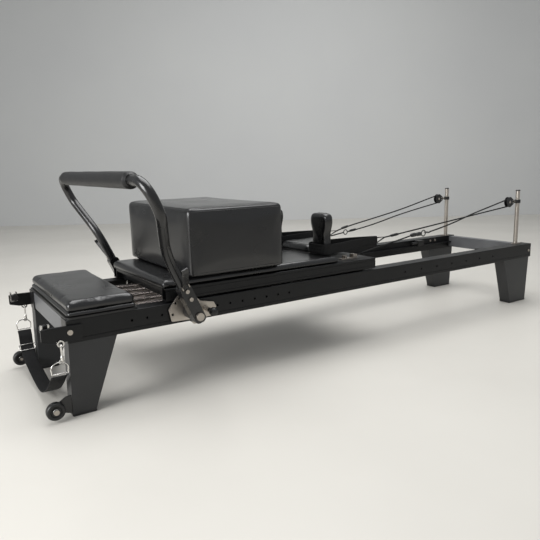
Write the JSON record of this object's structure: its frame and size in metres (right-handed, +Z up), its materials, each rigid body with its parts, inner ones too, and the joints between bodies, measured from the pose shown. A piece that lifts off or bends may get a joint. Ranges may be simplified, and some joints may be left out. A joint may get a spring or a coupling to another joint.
{
  "type": "pilates reformer",
  "caption": "Pilates reformer: rail frame on legs with a sprung rolling carriage, headrest, shoulder rests, foot bar, hand straps on pulleys and a padded sitting box",
  "frame": {"origin": "on the floor, under the middle of the overall length and width", "axes": "+X along the rails to the pulley posts, +Y across to the far side, +Z up"},
  "size_m": [2.4336, 0.992, 0.7279],
  "materials": {
    "graphite_rail": "dark anodised aluminium",
    "graphite_leg": "graphite powder coat",
    "black_plastic": "moulded black plastic",
    "black_metal": "black powder coat",
    "stainless": "brushed stainless steel",
    "chrome": "bright plated steel",
    "black_leather": "black upholstery",
    "plywood": "black laminated plywood",
    "wheel_rubber": "soft black tyre",
    "nylon": "natural nylon",
    "webbing": "woven black webbing",
    "rope_cord": "braided black cord",
    "foam": "closed-cell foam",
    "beam_grey": "silver anodised aluminium"
  },
  "bodies": {
    "frame": {"side_rail_near": "graphite_rail", "side_rail_far": "graphite_rail", "end_caps": "black_plastic", "crossbeams": "beam_grey", "legs": "graphite_leg", "leg_shoes": "black_plastic", "frame_bolts": "stainless", "wheel_brackets": "black_metal", "platform_board": "plywood", "platform_pad": "black_leather", "jumpboard_brackets": "graphite_rail", "bracket_hardware": "chrome", "spring_bar": "stainless", "springs": "chrome", "riser_posts": "stainless", "pulley_housings": "black_plastic", "carriage_stops": "wheel_rubber", "rope_near": "rope_cord", "rope_far": "rope_cord", "rope_fittings": "stainless"},
    "transport_wheel_near": {"transport_wheel_near": "wheel_rubber"},
    "transport_wheel_far": {"transport_wheel_far": "wheel_rubber"},
    "bracket_knob_near": {"bracket_knob_near": "black_plastic"},
    "bracket_knob_far": {"bracket_knob_far": "black_plastic"},
    "hanging_strap": {"foot_strap": "webbing", "strap_hardware": "chrome"},
    "bar_base": {"sector_plates": "stainless", "foot_bar_tie": "black_metal", "guide_shoes": "black_plastic", "base_hardware": "stainless"},
    "plunger_near": {"plunger_near": "black_plastic"},
    "plunger_far": {"plunger_far": "black_plastic"},
    "foot_bar": {"foot_bar_arms": "black_metal", "foot_bar_cross_tube": "black_metal", "foot_bar_grip": "foam", "arm_blocks": "black_metal", "pivot_hubs": "black_plastic", "arm_fasteners": "stainless"},
    "lock_pin_near": {"lock_pin_near": "stainless"},
    "lock_pin_far": {"lock_pin_far": "stainless"},
    "release_lever_near": {"release_lever_near": "black_metal"},
    "release_lever_far": {"release_lever_far": "black_metal"},
    "carriage": {"carriage_sides": "graphite_rail", "carriage_cross_members": "graphite_rail", "carriage_deck": "plywood", "carriage_pad": "black_leather", "roller_brackets": "black_metal", "carriage_fittings": "stainless", "hand_straps": "webbing", "strap_triangles": "stainless"},
    "front_rollers": {"front_running_rollers": "nylon"},
    "rear_rollers": {"rear_running_rollers": "nylon"},
    "headrest": {"headrest_board": "plywood", "headrest_pad": "black_leather"},
    "prop": {"headrest_prop": "stainless"},
    "shoulder_rest_near": {"shoulder_rest_near": "black_leather"},
    "shoulder_rest_far": {"shoulder_rest_far": "black_leather"},
    "sitting_box": {"sitting_box": "black_leather"},
    "pulley_sheave_near": {"pulley_sheave_near": "nylon"},
    "pulley_sheave_far": {"pulley_sheave_far": "nylon"}
  },
  "joints": [
    {"name": "carriage_slide", "type": "slide", "parent": "frame", "child": "carriage", "axis": [1, 0, 0], "range_m": [0, 0.75], "deforming": ["springs", "rope_near", "rope_far", "rope_fittings"]},
    {"name": "front_rollers_turn", "type": "hinge", "parent": "carriage", "child": "front_rollers", "pos_m": [-0.77325, 0, 0.2833], "axis": [0, 1, 0], "continuous": true},
    {"name": "rear_rollers_turn", "type": "hinge", "parent": "carriage", "child": "rear_rollers", "pos_m": [0.06275, 0, 0.2833], "axis": [0, 1, 0], "continuous": true},
    {"name": "box_lift", "type": "slide", "parent": "carriage", "child": "sitting_box", "axis": [0, 0, 1], "range_m": [0, 0.15]},
    {"name": "rest_lift_near", "type": "slide", "parent": "carriage", "child": "shoulder_rest_near", "axis": [0, 0, 1], "range_m": [0, 0.06]},
    {"name": "rest_lift_far", "type": "slide", "parent": "carriage", "child": "shoulder_rest_far", "axis": [0, 0, 1], "range_m": [0, 0.06]},
    {"name": "headrest_tilt", "type": "hinge", "parent": "carriage", "child": "headrest", "pos_m": [-0.11325, 0, 0.368], "axis": [0, -1, 0], "range_deg": [0, 18]},
    {"name": "prop_fold", "type": "hinge", "parent": "headrest", "child": "prop", "pos_m": [0.04675, 0, 0.357], "axis": [0, -1, 0], "range_deg": [0, 43.2]},
    {"name": "bar_base_slide", "type": "slide", "parent": "frame", "child": "bar_base", "axis": [1, 0, 0], "range_m": [-0.1, 0.25]},
    {"name": "foot_bar_fold", "type": "hinge", "parent": "bar_base", "child": "foot_bar", "pos_m": [-0.75125, 0, 0.267], "axis": [0, 1, 0], "range_deg": [-60, 8]},
    {"name": "plunger_pull_near", "type": "slide", "parent": "bar_base", "child": "plunger_near", "axis": [0, -1, 0], "range_m": [0, 0.008], "stiffness_N_per_m": 600},
    {"name": "lever_squeeze_near", "type": "hinge", "parent": "foot_bar", "child": "release_lever_near", "pos_m": [-0.79627, -0.381, 0.36955], "axis": [-0.9157, 0, -0.4019], "range_deg": [0, 12], "stiffness_Nm_per_rad": 2},
    {"name": "lock_pin_near", "type": "slide", "parent": "foot_bar", "child": "lock_pin_near", "axis": [0, -1, 0], "range_m": [0, 0.006]},
    {"name": "transport_wheel_turn_near", "type": "hinge", "parent": "frame", "child": "transport_wheel_near", "pos_m": [-1.18925, -0.29, 0.037], "axis": [0, 1, 0], "continuous": true},
    {"name": "bracket_knob_turn_near", "type": "hinge", "parent": "frame", "child": "bracket_knob_near", "pos_m": [-1.19225, -0.256, 0.28], "axis": [0, 1, 0], "continuous": true},
    {"name": "sheave_turn_near", "type": "hinge", "parent": "frame", "child": "pulley_sheave_near", "pos_m": [1.07475, -0.23, 0.522], "axis": [0, 1, 0], "continuous": true},
    {"name": "plunger_pull_far", "type": "slide", "parent": "bar_base", "child": "plunger_far", "axis": [0, 1, 0], "range_m": [0, 0.008], "stiffness_N_per_m": 600},
    {"name": "lever_squeeze_far", "type": "hinge", "parent": "foot_bar", "child": "release_lever_far", "pos_m": [-0.79627, 0.381, 0.36955], "axis": [0.9157, 0, 0.4019], "range_deg": [0, 12], "stiffness_Nm_per_rad": 2},
    {"name": "lock_pin_far", "type": "slide", "parent": "foot_bar", "child": "lock_pin_far", "axis": [0, 1, 0], "range_m": [0, 0.006]},
    {"name": "transport_wheel_turn_far", "type": "hinge", "parent": "frame", "child": "transport_wheel_far", "pos_m": [-1.18925, 0.29, 0.037], "axis": [0, 1, 0], "continuous": true},
    {"name": "bracket_knob_turn_far", "type": "hinge", "parent": "frame", "child": "bracket_knob_far", "pos_m": [-1.19225, 0.256, 0.28], "axis": [0, 1, 0], "continuous": true},
    {"name": "sheave_turn_far", "type": "hinge", "parent": "frame", "child": "pulley_sheave_far", "pos_m": [1.07475, 0.23, 0.522], "axis": [0, 1, 0], "continuous": true},
    {"name": "foot_strap_swing", "type": "hinge", "parent": "frame", "child": "hanging_strap", "pos_m": [-1.15675, 0, 0.238], "axis": [0, 1, 0], "range_deg": [0, 45]}
  ],
  "couplings": [
    {"joint": "front_rollers_turn", "follows": "carriage_slide", "rad_per_m": 66.667},
    {"joint": "rear_rollers_turn", "follows": "carriage_slide", "rad_per_m": 66.667},
    {"joint": "prop_fold", "follows": "headrest_tilt", "ratio": 2.4},
    {"joint": "lock_pin_near", "follows": "lever_squeeze_near", "m_per_rad": 0.02865},
    {"joint": "lock_pin_far", "follows": "lever_squeeze_far", "m_per_rad": 0.02865}
  ]
}
